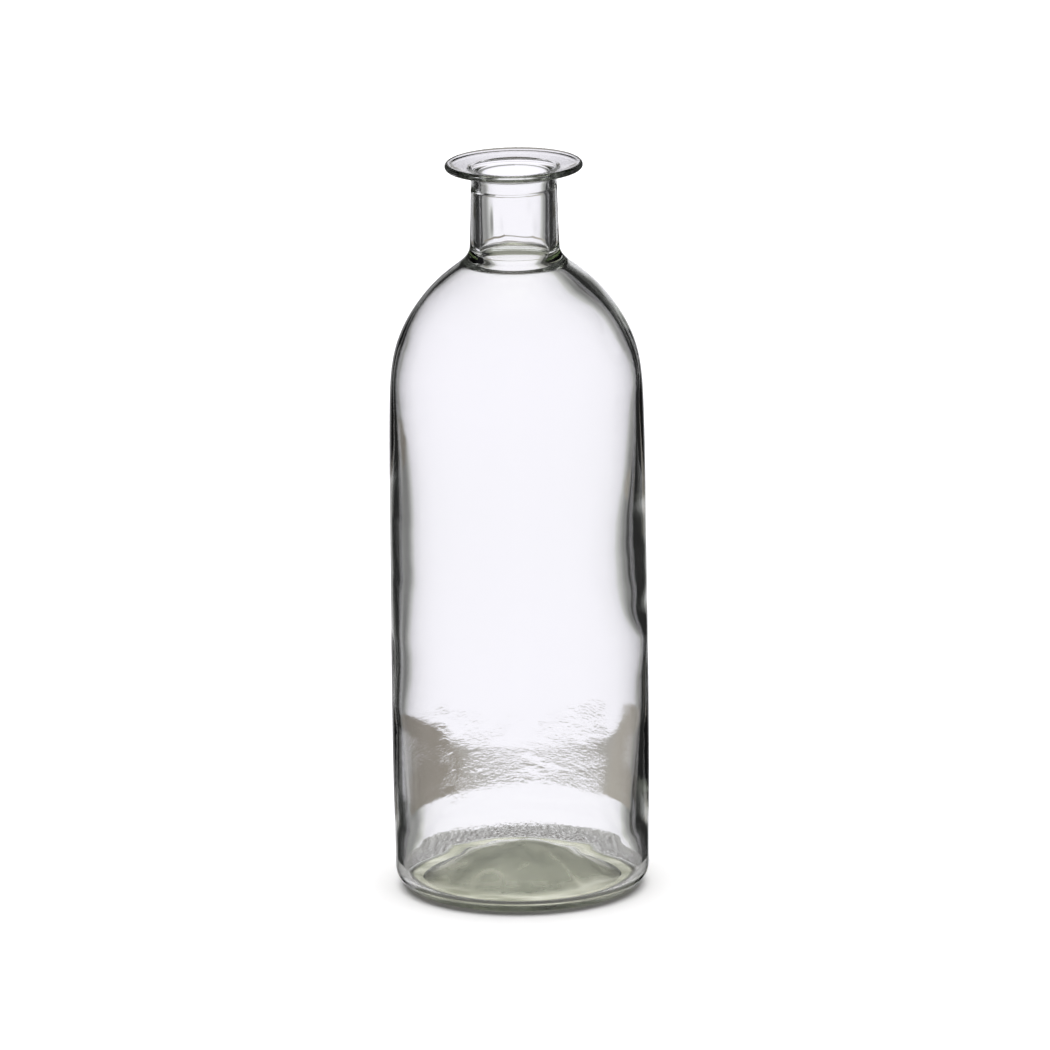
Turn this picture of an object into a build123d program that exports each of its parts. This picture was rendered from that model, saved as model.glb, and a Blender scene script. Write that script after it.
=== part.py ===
from build123d import *
import math
import os

# Bottle vase of clear pressed-and-blown glass.
# Millimetres, +Z up, origin at the centre of the ring it stands on.
#
# The real vase is one piece of glass.  It is held here as the five zones that
# the glass trade names on a bottle, each one a closed solid, and they meet
# face to face on flat planes at the lines where the moulds part or where the
# wall changes from one form to the next:
#   base        bottom with its push-up, bearing ring and heel
#   body_wall   the long, very slightly swelling side wall
#   shoulder    the dome from the wall to the root of the neck
#   neck        the short straight neck
#   lip_flange  the neck-ring moulding: collar, flat flange and dished mouth

# ---------------------------------------------------------------- dimensions
HEIGHT = 200.0            # base plane to the top of the lip bead

# planes between the zones
Z_BASE_TOP = 14.0         # base / body_wall, just above the push-up
Z_WALL_TOP = 132.0        # body_wall / shoulder, where the dome starts
Z_SHOULDER_TOP = 177.0    # shoulder / neck, top of the root fillet
Z_PARTING = 193.0         # neck / lip_flange, neck-ring parting line

# outer form
R_BASE_TOP = 34.38        # at Z_BASE_TOP
R_BELLY = 34.73           # widest, at Z_BELLY
Z_BELLY = 45.0
R_WALL_TOP = 34.16        # at Z_WALL_TOP
HEEL_R_TOP = 34.32        # where the heel's curve meets the wall
HEEL_RADIUS = 6.1         # heel rounding
BEARING_RO = HEEL_R_TOP - HEEL_RADIUS   # outer edge of the flat bearing ring
BEARING_RI = 26.2         # inner edge of the flat bearing ring
PUSH_UP_R = 25.0          # foot of the push-up underneath
PUSH_UP_FOOT_Z = 0.42
PUSH_UP_H = 5.4           # height of the push-up underneath, at the axis

R_NECK_LOW = 12.03        # outer neck at Z_SHOULDER_TOP
R_NECK_TOP = 11.56        # outer neck at Z_PARTING
R_COLLAR = 11.45          # moulded collar above the parting line
Z_COLLAR_TOP = 195.9      # collar up to the flange's root fillet
FLANGE_ROOT_R = 13.0      # root fillet ends here under the flange
FLANGE_ROOT_Z = 197.45
FLANGE_RO = 18.5          # outer radius of the flange
BEAD_R = 0.9              # rolled edge of the flange

# inner form
BORE_R = 9.5              # clear bore of the neck
Z_BORE_BOTTOM = 173.89    # bore starts to round into the shoulder
CORNER_RADIUS = 3.0       # rounding between the bore and the dome inside
DOME_SLOPE = 39.2         # degrees, slope of the dome where it meets that corner
Z_BORE_TOP = 197.1        # bore starts to round into the funnel
FUNNEL_R = 11.55          # the dished top starts to round into the funnel
FUNNEL_Z = 198.78
CONE_TOP = (11.1, 198.55)   # straight part of the funnel, top and bottom
CONE_LOW = (9.78, 197.56)
WALL = 2.7                # side wall
FLOOR_R = 25.4            # trough around the raised floor
FLOOR_Z = 3.1
FLOOR_TOP_Z = 10.2        # top of the raised floor, at the axis

R_IN_BASE_TOP = R_BASE_TOP - WALL
R_IN_BELLY = R_BELLY - WALL
R_IN_WALL_TOP = R_WALL_TOP - WALL

# where the corner under the bore meets the dome, tangent to both
SLOPE_R = math.cos(math.radians(DOME_SLOPE))
SLOPE_Z = math.sin(math.radians(DOME_SLOPE))
CORNER_R = BORE_R + CORNER_RADIUS * (1 - SLOPE_Z)
CORNER_Z = Z_BORE_BOTTOM - CORNER_RADIUS * SLOPE_R

# shoulder: outer points (radius, height) from the wall to the root fillet
SHOULDER_OUT = [
    (R_WALL_TOP, Z_WALL_TOP),
    (33.94, 138.0),
    (33.39, 144.0),
    (32.05, 150.0),
    (29.51, 156.0),
    (25.64, 162.0),
    (20.16, 168.0),
    (16.48, 171.0),
    (13.30, 173.75),
    (12.25, 175.55),
    (R_NECK_LOW, Z_SHOULDER_TOP),
]
# shoulder: inner points from the wall up to the rounded corner under the bore;
# the glass is about 3.2 mm thick over the crown of the dome
SHOULDER_IN = [
    (R_IN_WALL_TOP, Z_WALL_TOP),
    (31.24, 137.8),
    (30.62, 143.4),
    (29.20, 148.9),
    (26.78, 154.2),
    (23.05, 159.85),
    (18.00, 165.45),
    (14.55, 168.35),
    (CORNER_R, CORNER_Z),
]

os.makedirs("parts", exist_ok=True)

# ---------------------------------------------------------------------- base
# Heel, bearing ring and push-up.  The floor inside rises over the push-up and
# a trough runs around it.
with BuildPart() as base:
    with BuildSketch(Plane.XZ) as base_profile:
        with BuildLine() as base_line:
            # underneath: push-up, its foot, bearing ring, heel
            Spline(
                (0, PUSH_UP_H),
                (12.5, PUSH_UP_H - 1.27),
                (PUSH_UP_R, PUSH_UP_FOOT_Z),
                tangents=[(1, 0), (1, -0.42)],
            )
            Line((PUSH_UP_R, PUSH_UP_FOOT_Z), (BEARING_RI, 0))
            Line((BEARING_RI, 0), (BEARING_RO, 0))
            RadiusArc(
                (BEARING_RO, 0), (HEEL_R_TOP, HEEL_RADIUS), -HEEL_RADIUS
            )
            Line((HEEL_R_TOP, HEEL_RADIUS), (R_BASE_TOP, Z_BASE_TOP))
            # flat joint plane towards the wall
            Line((R_BASE_TOP, Z_BASE_TOP), (R_IN_BASE_TOP, Z_BASE_TOP))
            # inside: lower wall, trough, raised floor
            Spline(
                (R_IN_BASE_TOP, Z_BASE_TOP),
                (31.62, 9.0),
                (31.58, 7.3),
                (31.45, 6.1),
                (31.18, 4.95),
                (30.6, 4.0),
                (29.5, 3.35),
                (27.8, 3.08),
                (FLOOR_R, FLOOR_Z),
                tangents=[(-0.01, -1), (-1, 0)],
            )
            Spline(
                (FLOOR_R, FLOOR_Z),
                (19.5, 5.05),
                (10.0, 8.85),
                (0, FLOOR_TOP_Z),
                tangents=[(-1, 0), (-1, 0)],
            )
            Line((0, FLOOR_TOP_Z), (0, PUSH_UP_H))
        make_face()
    revolve(axis=Axis.Z)
base.part.label = "base"
export_step(base.part, "parts/base.step")

# ----------------------------------------------------------------- body_wall
with BuildPart() as body_wall:
    with BuildSketch(Plane.XZ) as wall_profile:
        with BuildLine() as wall_line:
            Spline(
                (R_BASE_TOP, Z_BASE_TOP),
                (34.60, 25.0),
                (R_BELLY, Z_BELLY),
                (34.66, 72.0),
                (34.49, 102.0),
                (R_WALL_TOP, Z_WALL_TOP),
            )
            Line((R_WALL_TOP, Z_WALL_TOP), (R_IN_WALL_TOP, Z_WALL_TOP))
            Spline(
                (R_IN_WALL_TOP, Z_WALL_TOP),
                (34.49 - WALL, 102.0),
                (34.66 - WALL, 72.0),
                (R_IN_BELLY, Z_BELLY),
                (34.60 - WALL, 25.0),
                (R_IN_BASE_TOP, Z_BASE_TOP),
            )
            Line((R_IN_BASE_TOP, Z_BASE_TOP), (R_BASE_TOP, Z_BASE_TOP))
        make_face()
    revolve(axis=Axis.Z)
body_wall.part.label = "body_wall"
export_step(body_wall.part, "parts/body_wall.step")

# ------------------------------------------------------------------ shoulder
with BuildPart() as shoulder:
    with BuildSketch(Plane.XZ) as shoulder_profile:
        with BuildLine() as shoulder_line:
            Spline(*SHOULDER_OUT, tangents=[(-0.02, 1), (-0.03, 1)])
            Line((R_NECK_LOW, Z_SHOULDER_TOP), (BORE_R, Z_SHOULDER_TOP))
            Line((BORE_R, Z_SHOULDER_TOP), (BORE_R, Z_BORE_BOTTOM))
            RadiusArc(
                (CORNER_R, CORNER_Z), (BORE_R, Z_BORE_BOTTOM), CORNER_RADIUS
            )
            Spline(*SHOULDER_IN, tangents=[(-0.02, 1), (-SLOPE_R, SLOPE_Z)])
            Line((R_IN_WALL_TOP, Z_WALL_TOP), (R_WALL_TOP, Z_WALL_TOP))
        make_face()
    revolve(axis=Axis.Z)
shoulder.part.label = "shoulder"
export_step(shoulder.part, "parts/shoulder.step")

# ---------------------------------------------------------------------- neck
with BuildPart() as neck:
    with BuildSketch(Plane.XZ) as neck_profile:
        with BuildLine() as neck_line:
            Spline(
                (R_NECK_LOW, Z_SHOULDER_TOP),
                (11.77, 183.5),
                (R_NECK_TOP, Z_PARTING),
            )
            Line((R_NECK_TOP, Z_PARTING), (BORE_R, Z_PARTING))
            Line((BORE_R, Z_PARTING), (BORE_R, Z_SHOULDER_TOP))
            Line((BORE_R, Z_SHOULDER_TOP), (R_NECK_LOW, Z_SHOULDER_TOP))
        make_face()
    revolve(axis=Axis.Z)
neck.part.label = "neck"
export_step(neck.part, "parts/neck.step")

# ---------------------------------------------------------------- lip_flange
# Collar, root fillet, flange with a rolled edge, dished top, funnel, bore.
BEAD_CR = FLANGE_RO - BEAD_R
BEAD_CZ = HEIGHT - BEAD_R
with BuildPart() as lip_flange:
    with BuildSketch(Plane.XZ) as lip_profile:
        with BuildLine() as lip_line:
            Line((BORE_R, Z_PARTING), (R_COLLAR, Z_PARTING))
            Line((R_COLLAR, Z_PARTING), (R_COLLAR, Z_COLLAR_TOP))
            Spline(
                (R_COLLAR, Z_COLLAR_TOP),
                (11.87, 196.93),
                (FLANGE_ROOT_R, FLANGE_ROOT_Z),
                tangents=[(0, 1), (1, 0.15)],
            )
            Line((FLANGE_ROOT_R, FLANGE_ROOT_Z), (BEAD_CR, BEAD_CZ - BEAD_R))
            ThreePointArc(
                (BEAD_CR, BEAD_CZ - BEAD_R),
                (FLANGE_RO, BEAD_CZ),
                (BEAD_CR, HEIGHT),
            )
            Spline(
                (BEAD_CR, HEIGHT),
                (16.55, 199.72),
                (14.4, 199.22),
                (FUNNEL_R, FUNNEL_Z),
                tangents=[(-1, 0), (-1, -0.2)],
            )
            Spline(
                (FUNNEL_R, FUNNEL_Z),
                (11.3, 198.69),
                CONE_TOP,
                tangents=[(-1, -0.2), (-1, -0.75)],
            )
            Line(CONE_TOP, CONE_LOW)
            Spline(
                CONE_LOW,
                (9.58, 197.37),
                (BORE_R, Z_BORE_TOP),
                tangents=[(-1, -0.75), (0, -1)],
            )
            Line((BORE_R, Z_BORE_TOP), (BORE_R, Z_PARTING))
        make_face()
    revolve(axis=Axis.Z)
lip_flange.part.label = "lip_flange"
export_step(lip_flange.part, "parts/lip_flange.step")

for zone in (base, body_wall, shoulder, neck, lip_flange):
    box = zone.part.bounding_box()
    print(
        f"{zone.part.label:12s} volume {zone.part.volume / 1000:8.2f} cm3"
        f"  z {box.min.Z:7.2f} to {box.max.Z:7.2f}  radius {box.max.X:6.2f}"
    )
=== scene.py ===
import math

import bpy
import numpy as np
from mathutils import Matrix, Vector


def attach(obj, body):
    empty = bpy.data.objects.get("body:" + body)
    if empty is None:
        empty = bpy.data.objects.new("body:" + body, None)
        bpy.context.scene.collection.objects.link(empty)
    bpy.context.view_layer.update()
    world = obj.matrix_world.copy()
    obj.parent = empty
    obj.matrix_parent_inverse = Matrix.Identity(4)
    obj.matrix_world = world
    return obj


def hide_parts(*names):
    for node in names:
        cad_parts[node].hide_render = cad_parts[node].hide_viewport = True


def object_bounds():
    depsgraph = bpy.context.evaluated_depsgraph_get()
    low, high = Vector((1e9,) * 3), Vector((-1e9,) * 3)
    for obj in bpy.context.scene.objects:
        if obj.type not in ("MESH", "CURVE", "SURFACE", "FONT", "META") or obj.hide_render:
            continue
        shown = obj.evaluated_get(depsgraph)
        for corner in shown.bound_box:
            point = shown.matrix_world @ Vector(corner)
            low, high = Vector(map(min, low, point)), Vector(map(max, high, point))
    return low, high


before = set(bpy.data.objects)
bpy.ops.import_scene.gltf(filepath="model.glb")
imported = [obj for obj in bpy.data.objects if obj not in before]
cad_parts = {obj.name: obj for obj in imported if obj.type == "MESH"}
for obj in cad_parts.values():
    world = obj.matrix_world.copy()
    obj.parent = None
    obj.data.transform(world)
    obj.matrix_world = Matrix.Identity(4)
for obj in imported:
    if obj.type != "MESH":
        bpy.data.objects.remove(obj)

cad_lo, cad_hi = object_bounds()

# Bottle vase of clear pressed-and-blown glass.  Metres, the CAD model's frame.
# All profile numbers below are millimetres and are scaled once, at the end.
MM = 0.001
TAU = 2 * math.pi
scene = bpy.context.scene


# --------------------------------------------------------------------- curves
def spline(points, start=None, end=None, step=0.4):
    """Cubic spline through points, by chord length, with end slopes if given;
    sampled about every step along its length."""
    p = np.array(points, float)
    d = np.hypot(*np.diff(p, axis=0).T)
    t = np.concatenate([[0], np.cumsum(d)])
    n = len(p)
    a = np.zeros((n, n))
    b = np.zeros((n, 2))
    for i in range(1, n - 1):
        h0, h1 = d[i - 1], d[i]
        a[i, i - 1], a[i, i], a[i, i + 1] = h1, 2 * (h0 + h1), h0
        b[i] = 3 * (h1 * (p[i] - p[i - 1]) / h0 + h0 * (p[i + 1] - p[i]) / h1)
    for k, (i, j, s) in enumerate(((0, 1, start), (n - 1, n - 2, end))):
        if s is None:
            a[i, i], a[i, j] = 2, 1
            b[i] = 3 * (p[j] - p[i]) / (t[j] - t[i])
        else:
            a[i, i] = 1
            b[i] = np.array(s, float) / np.hypot(*s)
    m = np.linalg.solve(a, b)
    out = []
    for i in range(n - 1):
        k = max(2, int(math.ceil(d[i] / step)))
        u = np.linspace(0, 1, k, endpoint=False)[:, None]
        h = d[i]
        out.append(
            (2 * u**3 - 3 * u**2 + 1) * p[i]
            + (u**3 - 2 * u**2 + u) * h * m[i]
            + (-2 * u**3 + 3 * u**2) * p[i + 1]
            + (u**3 - u**2) * h * m[i + 1]
        )
    out.append(p[-1:])
    return np.concatenate(out)


def arc(cx, cz, r, a0, a1, n):
    a = np.radians(np.linspace(a0, a1, n))
    return np.stack([cx + r * np.cos(a), cz + r * np.sin(a)], 1)


def line(p, q, n):
    return np.linspace(np.array(p, float), np.array(q, float), n)


def join(*runs):
    """Chains runs, dropping repeated points."""
    out = [runs[0]]
    for r in runs[1:]:
        out.append(r[1:] if np.hypot(*(out[-1][-1] - r[0])) < 1e-4 else r)
    return np.concatenate(out)


# ------------------------------------------------------------------ profiles
# outside, from the middle of the push-up underneath to the top of the lip
punt = spline(
    [(0, 5.4), (12.5, 4.13), (25.0, 0.42)], start=(1, 0), end=(1, -0.42), step=1.2
)
foot = line((25.0, 0.42), (26.2, 0.0), 4)
ring = line((26.2, 0.0), (28.22, 0.0), 7)
heel = arc(28.22, 6.1, 6.1, -90, 0, 22)
wall_o = spline(
    [
        (34.32, 6.1), (34.38, 14.0), (34.60, 25.0), (34.73, 45.0), (34.66, 72.0),
        (34.49, 102.0), (34.16, 132.0), (33.94, 138.0), (33.39, 144.0),
        (32.05, 150.0), (29.51, 156.0), (25.64, 162.0), (20.16, 168.0),
        (16.48, 171.0), (13.30, 173.75), (12.25, 175.55), (12.03, 177.0),
    ],
    start=(0, 1), end=(-0.03, 1), step=1.1,
)
neck_o = spline([(12.03, 177.0), (11.77, 183.5), (11.56, 192.9)], step=0.9)
step_o = spline([(11.56, 192.9), (11.53, 192.99), (11.45, 193.10)], step=0.03)
collar = line((11.45, 193.1), (11.45, 195.9), 8)
root_o = spline(
    [(11.45, 195.9), (11.87, 196.93), (13.0, 197.45)], start=(0, 1), end=(1, 0.15),
    step=0.2,
)
under = line((13.0, 197.45), (17.6, 198.2), 12)
bead = arc(17.6, 199.1, 0.9, -90, 90, 17)
dish = spline(
    [(17.6, 200.0), (16.55, 199.72), (14.4, 199.22), (11.55, 198.78)],
    start=(-1, 0), end=(-1, -0.2), step=0.45,
)
funnel = join(
    spline(
        [(11.55, 198.78), (11.3, 198.69), (11.1, 198.55)], start=(-1, -0.2),
        end=(-1, -0.75), step=0.06,
    ),
    line((11.1, 198.55), (9.78, 197.56), 8),
    spline(
        [(9.78, 197.56), (9.58, 197.37), (9.5, 197.1)], start=(-1, -0.75),
        end=(0, -1), step=0.06,
    ),
)
bore = line((9.5, 197.1), (9.5, 172.8), 29)
SLOPE = math.radians(39.2)
corner = arc(13.5, 172.8, 4.0, 180, 180 + 90 - 39.2, 16)
wall_i = spline(
    [
        tuple(corner[-1]), (14.3, 167.2), (18.0, 164.45), (23.05, 159.65),
        (26.78, 154.2), (29.2, 148.9), (30.62, 143.4), (31.24, 137.8),
        (31.46, 132.0), (31.79, 102.0), (31.96, 72.0), (32.03, 45.0),
        (31.90, 25.0), (31.68, 14.0), (31.62, 9.0), (31.60, 7.3), (31.50, 6.1),
        (31.27, 4.95), (30.7, 4.0), (29.6, 3.3), (27.8, 3.02), (25.4, 3.1),
    ],
    start=(math.cos(SLOPE), -math.sin(SLOPE)), end=(-1, 0), step=1.1,
)
z_wall = np.concatenate(
    [np.arange(150.0, 62.0, -1.1), np.arange(62.0, 12.0, -0.8), [12.0]]
)
order = np.argsort(wall_i[:, 1])
r_wall = np.interp(z_wall, wall_i[order, 1], wall_i[order, 0])
wall_i = np.concatenate(
    [
        wall_i[wall_i[:, 1] > 150.6],
        np.stack([r_wall, z_wall], 1),
        wall_i[wall_i[:, 1] < 11.5],
    ]
)
floor_i = spline(
    [(25.4, 3.1), (19.5, 5.05), (10.0, 8.85), (0, 10.2)],
    start=(-1, 0), end=(-1, 0), step=1.0,
)

outer = join(punt, foot, ring, heel, wall_o, neck_o, step_o, collar, root_o, under, bead)
inner = join(dish, funnel, bore, corner, wall_i, floor_i)
profile = join(outer, inner)
N_OUT = len(outer)
SEGS = 300


def smooth_noise(rng, u, v, nu, nv):
    """Sum of a few waves, periodic in u; nu and nv give the highest orders."""
    out = np.zeros_like(u)
    total = 0.0
    for _ in range(14):
        k = rng.integers(0, nu + 1)
        w = rng.uniform(-1, 1) * nv
        a = rng.normal()
        out += a * np.cos(k * u + w * v + rng.uniform(0, TAU))
        total += a * a / 2
    return out / math.sqrt(total)


# Wall thickness of the real, uneven glass at the left (-X) and right (+X)
# sides and at the front and back: height, left, right, front and back.  Below
# about 47 it swells towards the bottom, and it is thin over the left shoulder
# and thick over the right one.
WALL_T = [
    (4.0, 2.6, 2.35, 2.9), (8.0, 2.7, 2.45, 2.95), (12.0, 2.85, 2.65, 3.0),
    (15.0, 3.0, 2.9, 3.08), (17.3, 3.08, 3.05, 3.17),
    (27.0, 2.8, 2.8, 2.8), (37.0, 2.38, 2.4, 2.39), (47.0, 1.94, 2.0, 1.98),
    (51.0, 1.85, 1.94, 1.95), (62.0, 2.04, 1.84, 1.9), (70.0, 2.05, 1.95, 2.0),
    (78.0, 2.25, 2.45, 2.2), (87.0, 2.48, 2.85, 2.4), (96.0, 2.42, 2.95, 2.55),
    (104.0, 2.35, 2.82, 2.5), (112.0, 2.16, 2.52, 2.35), (120.0, 1.9, 2.28, 2.1),
    (128.0, 1.56, 2.05, 1.85), (134.0, 1.38, 1.88, 1.7), (140.0, 1.27, 1.66, 1.6),
    (145.0, 1.33, 1.7, 1.65), (150.0, 1.3, 1.9, 1.7), (154.0, 1.15, 2.05, 1.8),
    (158.0, 1.1, 2.15, 1.95), (162.0, 1.15, 2.3, 2.2), (165.0, 1.3, 2.4, 2.4),
    (168.0, 1.7, 2.55, 2.6), (172.0, 2.6, 2.8, 2.9),
]


# angle from +X, height, width, height of the hollow and its depth
BORE_HOLLOWS = [
    (70.0, 185.5, 1.1, 3.2, 0.22), (84.0, 186.8, 1.2, 3.0, 0.18),
    (128.0, 181.5, 1.0, 4.5, 0.16), (108.0, 180.5, 1.1, 4.0, 0.14),
    (58.0, 180.0, 1.2, 3.5, 0.12), (262.0, 183.0, 2.2, 2.6, 0.08),
]


def wall_thickness(z, ang):
    """Thickness of the wall at height z and angle ang from +X."""
    t = np.array(WALL_T)
    grid = np.arange(0.0, 180.0, 0.25)
    kernel = np.exp(-0.5 * (np.arange(-12, 13) * 0.25 / 0.9) ** 2)
    kernel /= kernel.sum()

    def curve(col):
        v = np.interp(grid, t[:, 0], t[:, col])
        return np.convolve(np.pad(v, 12, mode="edge"), kernel, "valid")

    left = np.interp(z, grid, curve(1))
    right = np.interp(z, grid, curve(2))
    side = np.cos(ang)
    across = np.where(side > 0, right, left)
    out = side**2 * across + (1 - side**2) * np.interp(z, grid, curve(3))
    # in front the wall keeps swelling down to the heel
    front = np.clip(-np.sin(ang), 0, 1) ** 2
    out = out + front * np.interp(z, [3.0, 6.0, 10.0, 17.0, 18.5], [0.6, 0.66, 0.46, 0.08, 0.0])
    # a fold in the right-hand side, where the thick glass ends in a step
    off = np.angle(np.exp(1j * ang))
    near = np.exp(-((off / math.radians(24)) ** 2))
    step = 0.22 * np.exp(-(((z - 77.0) / 4.5) ** 2)) - 0.14 * np.exp(
        -(((z - 67.0) / 5.0) ** 2)
    )
    return out + near * step


def build_glass():
    rng = np.random.default_rng(11)
    ang = np.arange(SEGS) / SEGS * TAU
    rows = profile[1:-1]  # the two ends on the axis are single points
    r = rows[:, :1] + 0 * ang
    z = rows[:, 1:] + 0 * ang
    u = ang + 0 * r
    tangent = np.gradient(rows, axis=0)
    tangent /= np.hypot(*tangent.T)[:, None]
    # the profile runs up the outside and down the inside, so this points into
    # the hollow on the inner side
    nr, nz = -tangent[:, 1:] + 0 * ang, tangent[:, :1] + 0 * ang
    count = np.arange(1, len(profile) - 1)
    inside = ((count >= N_OUT) & (rows[:, 1] < 172.5) & (rows[:, 1] > 3.6))[:, None]
    inside = inside & (rows[:, :1] > 27.5) | inside & (rows[:, 1:] > 20.0)
    inside = inside & (r > 10.0)
    nominal = np.interp(
        z, [0, 140, 150, 160, 165, 170, 175], [2.7, 2.75, 2.9, 3.3, 3.7, 4.2, 4.2]
    )
    fade = np.clip((z - 3.6) / 4.0, 0, 1) * np.clip((172.5 - z) / 3.0, 0, 1)
    extra = (wall_thickness(z, u) - nominal) * fade
    # slow unevenness of the blown inside
    extra = extra + 0.07 * smooth_noise(rng, u, z, 5, 0.09) * fade
    # nr, nz point towards the hollow, so more glass moves the inside that way
    move = np.where(inside, extra, 0.0)
    r = r - np.abs(nr) * move
    z = z + nz * np.sign(-nr) * 0 + np.where(inside, nz * move * np.sign(-nr), 0.0)
    # the pressed floor inside is uneven too
    in_floor = (count >= N_OUT)[:, None] & (z < 11.5) & (r < 25.0)
    px, py = r * np.cos(u), r * np.sin(u)
    lumps = np.zeros_like(px)
    for k in range(10):
        d = rng.uniform(0, TAU)
        q = rng.uniform(0.25, 0.75)
        lumps += np.cos(q * (px * math.cos(d) + py * math.sin(d)) + rng.uniform(0, TAU))
    lumps = np.tanh(lumps * 0.9) * np.clip((25.0 - r) / 3.0, 0, 1)
    z = z + np.where(in_floor, 0.14 * lumps, 0.0)
    # the lip was set by hand and dips a little to the front and to the left
    tip = np.clip((z - 192.3) / 4.5, 0, 1)
    tip = tip * tip * (3 - 2 * tip)
    # shallow hollows in the bore, and the parting line deeper at the left front
    in_bore = (count >= N_OUT)[:, None] & (r < 9.7) & (z > 174.0) & (z < 195.5)
    for turn, height, wide, tall, deep in BORE_HOLLOWS:
        off = np.angle(np.exp(1j * (u - math.radians(turn)))) * 9.5
        dent = deep * np.exp(-((off / wide) ** 2) - ((z - height) / tall) ** 2)
        r = r + np.where(in_bore, dent, 0.0)
    groove = np.exp(-(((z - 193.0) / 0.13) ** 2)) * (r > 11.0)
    near = np.exp(-(((z - 193.0) / 1.2) ** 2)) * (r > 11.0)
    r = r - 0.10 * groove * np.clip(0.3 + 0.9 * np.cos(u - math.radians(222)), 0, 1)
    z = z + 0.15 * near * np.cos(u)
    # stippled bearing ring: short radial ticks pressed up into it
    outside = (count < N_OUT)[:, None] & (z < 1.2)
    tick = np.clip((r - 25.2) / 0.8, 0, 1) * np.clip((29.9 - r) / 0.8, 0, 1)
    z = z + np.where(outside, 0.11 * tick * (np.arange(SEGS) % 2), 0.0)
    # the solids' box is cut a little short by their facets, and the widest
    # ring stays inside it
    room = min(-cad_lo[0], cad_hi[0], -cad_lo[1], cad_hi[1]) / MM - 0.001
    r = r * min(1.0, room / r.max())
    x = r * np.cos(u)
    y = r * np.sin(u)
    z = z + tip * (-0.40 + 0.25 * y / 18.5 + 0.13 * x / 18.5)
    verts = np.stack([x, y, z], -1).reshape(-1, 3)
    verts = np.concatenate([verts, [[0, 0, profile[0, 1]], [0, 0, profile[-1, 1]]]])
    n_rows = len(rows)
    a = np.arange(n_rows - 1)[:, None] * SEGS + np.arange(SEGS)
    b = np.arange(n_rows - 1)[:, None] * SEGS + (np.arange(SEGS) + 1) % SEGS
    faces = np.stack([a, b, b + SEGS, a + SEGS], -1).reshape(-1, 4).tolist()
    bottom, top = n_rows * SEGS, n_rows * SEGS + 1
    for i in range(SEGS):
        j = (i + 1) % SEGS
        faces.append((bottom, j, i))
        last = (n_rows - 1) * SEGS
        faces.append((top, last + i, last + j))
    mesh = bpy.data.meshes.new("vase_glass")
    mesh.from_pydata((verts * MM).tolist(), [], faces)
    mesh.validate()
    mesh.polygons.foreach_set("use_smooth", [True] * len(mesh.polygons))
    mesh.update()
    obj = bpy.data.objects.new("vase_glass", mesh)
    scene.collection.objects.link(obj)
    return obj


# ----------------------------------------------------------------- materials
class Nodes:
    def __init__(self, tree):
        self.tree = tree
        tree.nodes.clear()

    def add(self, kind, **values):
        node = self.tree.nodes.new(kind)
        for k, v in values.items():
            if k.startswith("in_"):
                node.inputs[k[3:].replace("_", " ")].default_value = v
            else:
                setattr(node, k, v)
        return node

    def link(self, a, b):
        self.tree.links.new(a, b)

    def math(self, op, a, b=None, clamp=False):
        n = self.add("ShaderNodeMath", operation=op, use_clamp=clamp)
        for i, v in enumerate((a, b)):
            if v is None:
                continue
            if isinstance(v, (int, float)):
                n.inputs[i].default_value = v
            else:
                self.link(v, n.inputs[i])
        return n.outputs[0]


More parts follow.
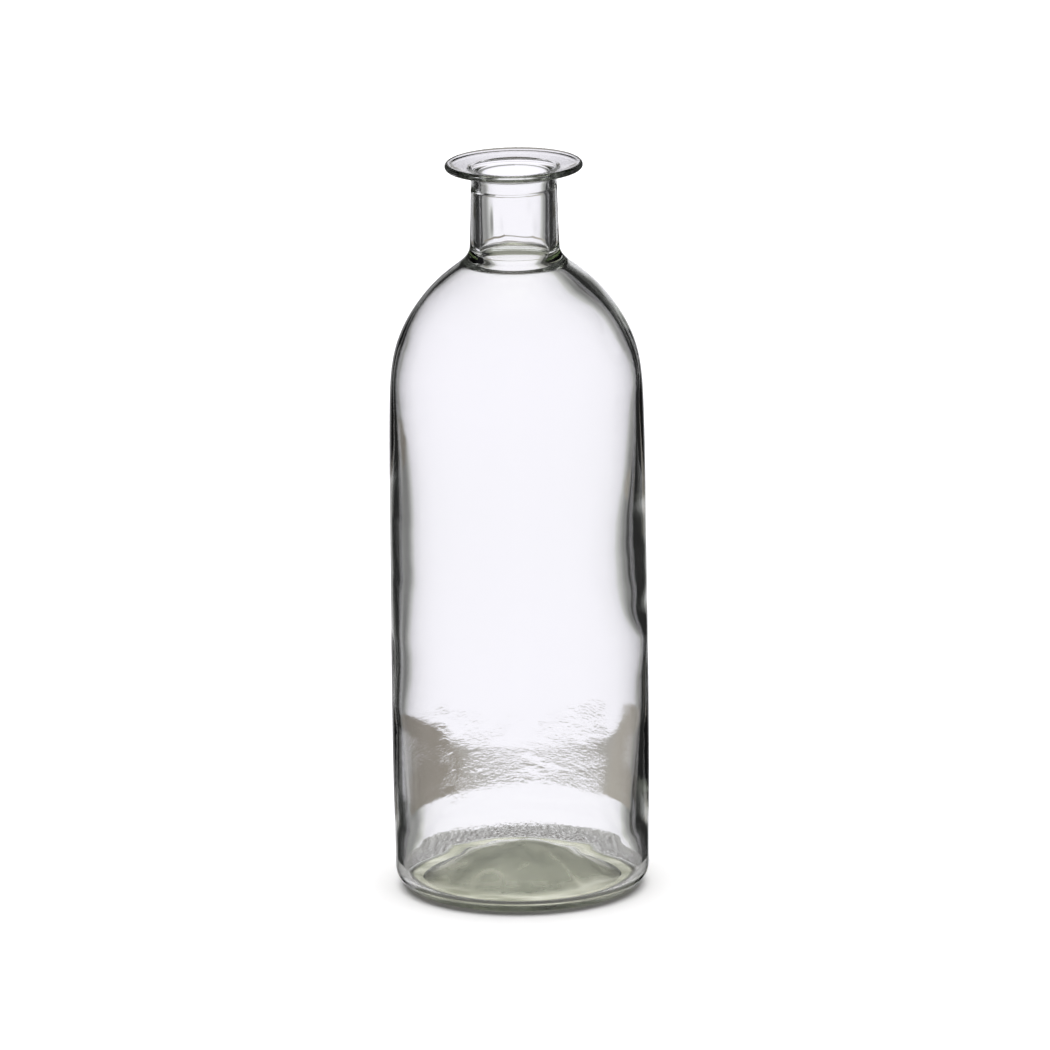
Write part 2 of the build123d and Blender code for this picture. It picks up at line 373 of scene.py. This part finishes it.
def glass_material():
    mat = bpy.data.materials.new("clear_glass")
    mat.use_nodes = True
    g = Nodes(mat.node_tree)
    out = g.add("ShaderNodeOutputMaterial")
    bsdf = g.add("ShaderNodeBsdfPrincipled")
    bsdf.inputs["Base Color"].default_value = (1, 1, 1, 1)
    bsdf.inputs["IOR"].default_value = 1.52
    bsdf.inputs["Transmission Weight"].default_value = 1.0
    volume = g.add("ShaderNodeVolumeAbsorption")
    volume.inputs["Color"].default_value = (0.80, 0.84, 0.76, 1)
    volume.inputs["Density"].default_value = 40.0
    g.link(bsdf.outputs[0], out.inputs["Surface"])
    g.link(volume.outputs[0], out.inputs["Volume"])

    coord = g.add("ShaderNodeTexCoord")
    sep = g.add("ShaderNodeSeparateXYZ")
    g.link(coord.outputs["Object"], sep.inputs[0])
    x, y, z = sep.outputs
    rr = g.math("ADD", g.math("MULTIPLY", x, x), g.math("MULTIPLY", y, y))

    def step(v, lo, hi):
        n = g.add("ShaderNodeMapRange", interpolation_type="SMOOTHSTEP")
        n.inputs["From Min"].default_value = lo
        n.inputs["From Max"].default_value = hi
        g.link(v, n.inputs["Value"])
        return n.outputs[0]

    def noise(scale, stretch, detail, seed):
        m = g.add("ShaderNodeMapping")
        m.inputs["Scale"].default_value = stretch
        m.inputs["Location"].default_value = (seed, seed * 0.7, seed * 1.3)
        g.link(coord.outputs["Object"], m.inputs[0])
        n = g.add("ShaderNodeTexNoise")
        n.inputs["Scale"].default_value = scale
        n.inputs["Detail"].default_value = detail
        g.link(m.outputs[0], n.inputs["Vector"])
        return n.outputs["Fac"]

    # underside: below a paraboloid half way between it and the floor inside
    middle = g.math("SUBTRACT", 0.0078, g.math("MULTIPLY", rr, 9.4))
    below = g.math("SUBTRACT", middle, z)
    under = g.math("MULTIPLY", step(below, 0.0, 0.0002), step(rr, 0.0262**2, 0.0254**2))
    rough = g.math("MULTIPLY_ADD", noise(140.0, (1, 1, 1), 3.0, 2.0), 0.30)
    rough.node.inputs[2].default_value = 0.20
    g.link(g.math("MULTIPLY", under, rough), bsdf.inputs["Roughness"])

    # fine level ripples low on the wall, from the cold mould
    high = g.math("SUBTRACT", z, g.math("MULTIPLY", g.math("MULTIPLY", x, x), 9.0))
    low = g.math("MULTIPLY", step(z, 0.0115, 0.0165), step(high, 0.0450, 0.0355))
    low = g.math("MULTIPLY", low, step(y, -0.040, 0.010))
    side = step(g.math("ABSOLUTE", x), 0.0262, 0.0222)
    low = g.math("MULTIPLY", low, g.math("MAXIMUM", side, 0.22))
    # and a finer grain in the corner of the floor
    grain = g.math("MULTIPLY", step(z, 0.0030, 0.0040), step(z, 0.0082, 0.0066))
    grain = g.math("MULTIPLY", grain, step(rr, 0.0285**2, 0.0300**2))
    grain = g.math("MULTIPLY", grain, step(y, -0.040, 0.010))
    fine = noise(1.0, (820.0, 820.0, 1800.0), 4.0, 5.0)
    coarse = noise(1.0, (120.0, 120.0, 300.0), 2.0, 9.0)
    h = g.math("MULTIPLY", g.math("MULTIPLY", fine, step(coarse, 0.30, 0.62)), low)
    speck = g.math("MULTIPLY", noise(1.0, (900.0, 900.0, 1500.0), 3.0, 3.0), grain)
    h = g.math("ADD", h, g.math("MULTIPLY", speck, 0.9))
    bump = g.add("ShaderNodeBump")
    bump.inputs["Strength"].default_value = 1.0
    bump.inputs["Distance"].default_value = 0.000031
    g.link(h, bump.inputs["Height"])
    g.link(bump.outputs[0], bsdf.inputs["Normal"])
    return mat


glass = build_glass()
glass.data.materials.append(glass_material())
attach(glass, "root")
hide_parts("base", "body_wall", "shoulder", "neck", "lip_flange")


# ---------------------------------------------------------------- floor, light
def ring_mesh(name, r0, r1, z, segs=128):
    a = np.arange(segs) / segs * TAU
    c = np.stack([np.cos(a), np.sin(a), 0 * a], 1)
    if r0 > 0:
        verts = np.concatenate([c * r0, c * r1])
        faces = [
            (i, segs + i, segs + (i + 1) % segs, (i + 1) % segs) for i in range(segs)
        ]
    else:
        verts = c * r1
        faces = [tuple(range(segs))]
    verts[:, 2] = z
    mesh = bpy.data.meshes.new(name)
    mesh.from_pydata(verts.tolist(), [], faces)
    mesh.update()
    obj = bpy.data.objects.new(name, mesh)
    scene.collection.objects.link(obj)
    return obj


floor_mat = bpy.data.materials.new("floor")
floor_mat.use_nodes = True
f = Nodes(floor_mat.node_tree)
f_out = f.add("ShaderNodeOutputMaterial")
f_bsdf = f.add("ShaderNodeBsdfDiffuse")
f_bsdf.inputs["Color"].default_value = (0.9, 0.9, 0.9, 1)
f.link(f_bsdf.outputs[0], f_out.inputs["Surface"])
floor = ring_mesh("floor", 0.0345, 8.0, -0.00005)
floor_near = ring_mesh("floor_near", 0, 0.0345, -0.00005)
floor.data.materials.append(floor_mat)

# painted light: under the vase the floor glows, unevenly and a little green, standing in for
# the light that comes through the glass; about 29 to 31 mm out it gives way to the plain lit
# floor
near_glow_mat = bpy.data.materials.new("floor_near")
near_glow_mat.use_nodes = True
f = Nodes(near_glow_mat.node_tree)
f_out = f.add("ShaderNodeOutputMaterial")
f_coord = f.add("ShaderNodeTexCoord")
f_map = f.add("ShaderNodeMapping")
f_map.inputs["Scale"].default_value = (70.0, 130.0, 70.0)
f_map.inputs["Rotation"].default_value = (0, 0, 0.3)
f.link(f_coord.outputs["Object"], f_map.inputs[0])
f_noise = f.add("ShaderNodeTexNoise")
f_noise.inputs["Scale"].default_value = 1.0
f_noise.inputs["Detail"].default_value = 3.0
f.link(f_map.outputs[0], f_noise.inputs["Vector"])
f_ramp = f.add("ShaderNodeValToRGB")
f.link(f_noise.outputs["Fac"], f_ramp.inputs[0])
e0, e1 = f_ramp.color_ramp.elements
e0.position, e0.color = 0.36, (0.46, 0.47, 0.36, 1)
e1.position, e1.color = 0.70, (1.15, 1.15, 1.02, 1)
e = f_ramp.color_ramp.elements.new(0.5)
e.color = (0.80, 0.80, 0.67, 1)
e = f_ramp.color_ramp.elements.new(0.60)
e.color = (0.90, 0.90, 0.77, 1)
# painted light: the floor under the vase glows in these colours instead of being lit through
# the glass
f_emit = f.add("ShaderNodeEmission")
f.link(f_ramp.outputs[0], f_emit.inputs["Color"])
f_bsdf = f.add("ShaderNodeBsdfDiffuse")
f_bsdf.inputs["Color"].default_value = (0.9, 0.9, 0.9, 1)
f_shift = f.add("ShaderNodeVectorMath", operation="SUBTRACT")
f_shift.inputs[1].default_value = (0.0, 0.003, 0.0)
f.link(f_coord.outputs["Object"], f_shift.inputs[0])
f_sep = f.add("ShaderNodeVectorMath", operation="LENGTH")
f.link(f_shift.outputs[0], f_sep.inputs[0])
f_rim = f.add("ShaderNodeMapRange", interpolation_type="SMOOTHSTEP")
f_rim.inputs["From Min"].default_value = 0.0290
f_rim.inputs["From Max"].default_value = 0.0310
f.link(f_sep.outputs["Value"], f_rim.inputs["Value"])
f_mix = f.add("ShaderNodeMixShader")
f.link(f_rim.outputs[0], f_mix.inputs[0])
f.link(f_emit.outputs[0], f_mix.inputs[1])
f.link(f_bsdf.outputs[0], f_mix.inputs[2])
f.link(f_mix.outputs[0], f_out.inputs["Surface"])
floor_near.data.materials.append(near_glow_mat)
floor.visible_transmission = False
floor.visible_glossy = False

# painted shadow: a ring seen only through the glass glows in speckled dark and white, standing
# in for the shaded floor just outside the vase as seen through the corner of its base
floor_mid = ring_mesh("floor_mid", 0.0346, 0.054, -0.00004)
mid_shadow_mat = bpy.data.materials.new("floor_mid")
mid_shadow_mat.use_nodes = True
f = Nodes(mid_shadow_mat.node_tree)
f_out = f.add("ShaderNodeOutputMaterial")
f_coord = f.add("ShaderNodeTexCoord")
f_noise = f.add("ShaderNodeTexNoise")
f_noise.inputs["Scale"].default_value = 900.0
f_noise.inputs["Detail"].default_value = 2.0
f.link(f_coord.outputs["Object"], f_noise.inputs["Vector"])
f_ramp = f.add("ShaderNodeValToRGB")
f.link(f_noise.outputs["Fac"], f_ramp.inputs[0])
# painted shadow: the dark specks are the floor's shade just outside the vase
e0, e1 = f_ramp.color_ramp.elements
e0.position, e0.color = 0.41, (0.25, 0.24, 0.23, 1)
e1.position, e1.color = 0.67, (0.92, 0.91, 0.94, 1)
f_emit = f.add("ShaderNodeEmission")
f.link(f_ramp.outputs[0], f_emit.inputs["Color"])
f.link(f_emit.outputs[0], f_out.inputs["Surface"])
floor_mid.data.materials.append(mid_shadow_mat)
floor_mid.visible_camera = False
floor_mid.visible_diffuse = False
floor_mid.visible_glossy = False
floor_mid.visible_shadow = False

# One very large soft light overhead for the floor.  The glass shows the
# studio around it instead, which is the world below.
sun_data = bpy.data.lights.new("overhead", "SUN")
sun_data.energy = 4.6
sun_data.angle = math.radians(75)
sun = bpy.data.objects.new("overhead", sun_data)
scene.collection.objects.link(sun)
sun.visible_glossy = False
sun.visible_transmission = False

# World: a dim sky overhead and, level with the vase, a bright panel
# with grey then dark to each side of it. There is one such panel behind the
# vase in the main view and one each at azimuth 45, 90 and 225 only: from other
# azimuths the surroundings are dim or dark, and so is the glass.
world = bpy.data.worlds.new("studio")
scene.world = world
world.use_nodes = True
w = Nodes(world.node_tree)
w_out = w.add("ShaderNodeOutputWorld")
coord = w.add("ShaderNodeTexCoord")
sep = w.add("ShaderNodeSeparateXYZ")
w.link(coord.outputs["Generated"], sep.inputs[0])
phi = w.math("ARCTAN2", sep.outputs[0], sep.outputs[1])
phi = w.math("MULTIPLY", phi, 180 / math.pi)
el = w.math("MULTIPLY", w.math("ARCSINE", sep.outputs[2]), 180 / math.pi)


def smoothstep(x, lo, hi):
    n = w.add("ShaderNodeMapRange", interpolation_type="SMOOTHSTEP")
    n.inputs["From Min"].default_value = lo
    n.inputs["From Max"].default_value = hi
    w.link(x, n.inputs["Value"])
    return n.outputs[0]


def ramp(x, lo, hi, stops):
    r = w.add("ShaderNodeValToRGB")
    w.link(w.math("DIVIDE", w.math("SUBTRACT", x, lo), hi - lo), r.inputs[0])
    el0, el1 = r.color_ramp.elements
    el0.position, el1.position = 0.0, 1.0
    for e, c in ((el0, stops[0][1]), (el1, stops[-1][1])):
        e.color = (*c, 1) if isinstance(c, tuple) else (c, c, c, 1)
    for a, c in stops[1:-1]:
        e = r.color_ramp.elements.new((a - lo) / (hi - lo))
        e.color = (*c, 1) if isinstance(c, tuple) else (c, c, c, 1)
    return r.outputs[0]


def blend(fac, a, b):
    n = w.add("ShaderNodeMix", data_type="RGBA")
    for v, s in ((fac, 0), (a, 6), (b, 7)):
        if isinstance(v, tuple):
            n.inputs[s].default_value = v
        else:
            w.link(v, n.inputs[s])
    return n.outputs[2]


def panel(under, centre, el_lo, el_hi, stops, half=58.0, fade=8.0, low_fade=1.5):
    """Lays a panel centred on an azimuth over what is under it."""
    x = w.math("WRAP", w.math("SUBTRACT", phi, centre), 180.0)
    x.node.inputs[2].default_value = -180.0
    up = w.math("MAXIMUM", w.math("ADD", el, 8.0), 0.0)
    d = w.math(
        "SQRT", w.math("ADD", w.math("MULTIPLY", x, x), w.math("MULTIPLY", up, up))
    )
    s = w.math("MULTIPLY", w.math("SIGN", x), d)
    colour = ramp(s, -60, 60, stops)
    mask = w.math("MULTIPLY", smoothstep(el, el_lo, el_lo + low_fade),
                  smoothstep(el, el_hi, el_hi - 4.0))
    mask = w.math("MULTIPLY", mask, smoothstep(w.math("ABSOLUTE", x), half, half - fade))
    return blend(mask, under, colour)


DARK = 0.022
WHITE = (1.12, 1.10, 1.18)


def tone(v):
    return (v * WHITE[0], v * WHITE[1], v * WHITE[2])


SIDE = [
    (-60, tone(0.12)), (-46, tone(0.12)), (-42, DARK), (-20, DARK), (-18, 0.35),
    (-12, 0.38), (-9, tone(0.85)), (-5, tone(1.0)), (5, tone(1.0)),
    (9, tone(0.85)), (12, 0.38), (18, 0.35), (20, DARK), (42, DARK),
    (46, tone(0.12)), (60, tone(0.12)),
]
MAIN = [
    (-60, DARK), (-50, DARK), (-46, DARK), (-21.5, DARK), (-19.5, 0.36),
    (-16.8, 0.40), (-14.4, 0.34), (-12.6, 0.31), (-11.4, 0.38), (-10.3, 0.53),
    (-9.5, 0.71), (-8.2, tone(0.86)), (-6, tone(0.96)), (-4, tone(1.0)),
    (4, tone(1.0)), (7.7, tone(0.95)), (9.7, tone(0.87)), (10.7, 0.77),
    (11.7, 0.63), (13, 0.50), (14.8, 0.34), (17.0, 0.34), (18.5, DARK), (46, DARK),
    (60, DARK),
]
plain = w.add("ShaderNodeRGB")
plain.outputs[0].default_value = (*tone(0.12), 1)
view = panel(plain.outputs[0], 135.0, -22.0, 40.0, SIDE)
view = panel(view, -90.0, -22.0, 40.0, SIDE)
view = panel(view, 0.0, -75.0, 50.0, MAIN, 66.0, 6.0)
# the table far below the panel, dull taupe
table = w.math("MULTIPLY", smoothstep(el, -32.0, -37.0),
               smoothstep(w.math("ABSOLUTE", phi), 80.0, 60.0))
below = blend(smoothstep(w.math("ABSOLUTE", phi), 25.0, 40.0),
              (0.40, 0.38, 0.36, 1), (0.05, 0.048, 0.045, 1))
view = blend(table, view, below)
# painted shadow: a dull taupe band just below what the straight rays see, standing in for the
# vase's own shadow on the table just behind it
x = w.math("ABSOLUTE", phi)
left = smoothstep(phi, -1.8, -4.0)
right = smoothstep(phi, 3.0, 6.0)
side = w.math("MAXIMUM", left, right)
edge = w.math("ADD", el, w.math("MULTIPLY", w.math("SUBTRACT", 1.0, side), 0.75))
shadow_band = w.math("MULTIPLY", smoothstep(edge, -16.85, -17.35),
              smoothstep(el, -20.5, -19.0))
shadow_band = w.math("MULTIPLY", shadow_band, smoothstep(x, 18.0, 15.0))
# painted shadow colours of the vase's shadow on the table behind it, lighter at the left
taupe = blend(left, (0.48, 0.445, 0.40, 1), (0.31, 0.28, 0.245, 1))
taupe = blend(side, (0.45, 0.43, 0.41, 1), taupe)
view = blend(shadow_band, view, taupe)
view = panel(view, -45.0, -34.0, -19.5, SIDE, 33.0, 4.0)
view = blend(smoothstep(el, 46.0, 60.0), view, (0.17, 0.155, 0.15, 1))
path = w.add("ShaderNodeLightPath")
mirrored = w.math("GREATER_THAN", path.outputs["Glossy Depth"], 0.5)
away = w.math("MULTIPLY", mirrored, smoothstep(x, 60.0, 75.0))
away = w.math("MULTIPLY", away, smoothstep(el, 46.0, 40.0))
shown = blend(away, view, (*tone(0.14), 1))
bg = w.add("ShaderNodeBackground")
w.link(shown, bg.inputs["Color"])
bg.inputs["Strength"].default_value = 1.0
white = w.add("ShaderNodeBackground")
white.inputs["Color"].default_value = (1.1, 1.1, 1.1, 1)
pick = w.add("ShaderNodeMixShader")
w.link(path.outputs["Is Camera Ray"], pick.inputs[0])
w.link(bg.outputs[0], pick.inputs[1])
w.link(white.outputs[0], pick.inputs[2])
w.link(pick.outputs[0], w_out.inputs["Surface"])

# --------------------------------------------------------------------- camera
cam_data = bpy.data.cameras.new("camera")
cam = bpy.data.objects.new("camera", cam_data)
scene.collection.objects.link(cam)
cam_data.sensor_width = 36.0
cam_data.lens = 10416 / 1050 * 36.0
cam_data.clip_start = 0.1
cam_data.clip_end = 50.0
ELEV = math.radians(14.0)
target = Vector((0.00183, 0.0, 0.0998))
back = Vector((0, -math.cos(ELEV), math.sin(ELEV)))
cam.location = target + back * 2.8
cam.rotation_mode = "QUATERNION"
roll = Matrix.Rotation(math.radians(-0.72), 4, "Z").to_quaternion()
cam.rotation_quaternion = (-back).to_track_quat("-Z", "Y") @ roll
scene.camera = cam

scene.view_settings.view_transform = "Standard"
scene.view_settings.look = "None"
scene.cycles.use_denoising = True
scene.cycles.max_bounces = 24
scene.cycles.transmission_bounces = 24
scene.cycles.glossy_bounces = 16
scene.cycles.diffuse_bounces = 3
scene.cycles.blur_glossy = 0.0
scene.cycles.sample_clamp_indirect = 6.0
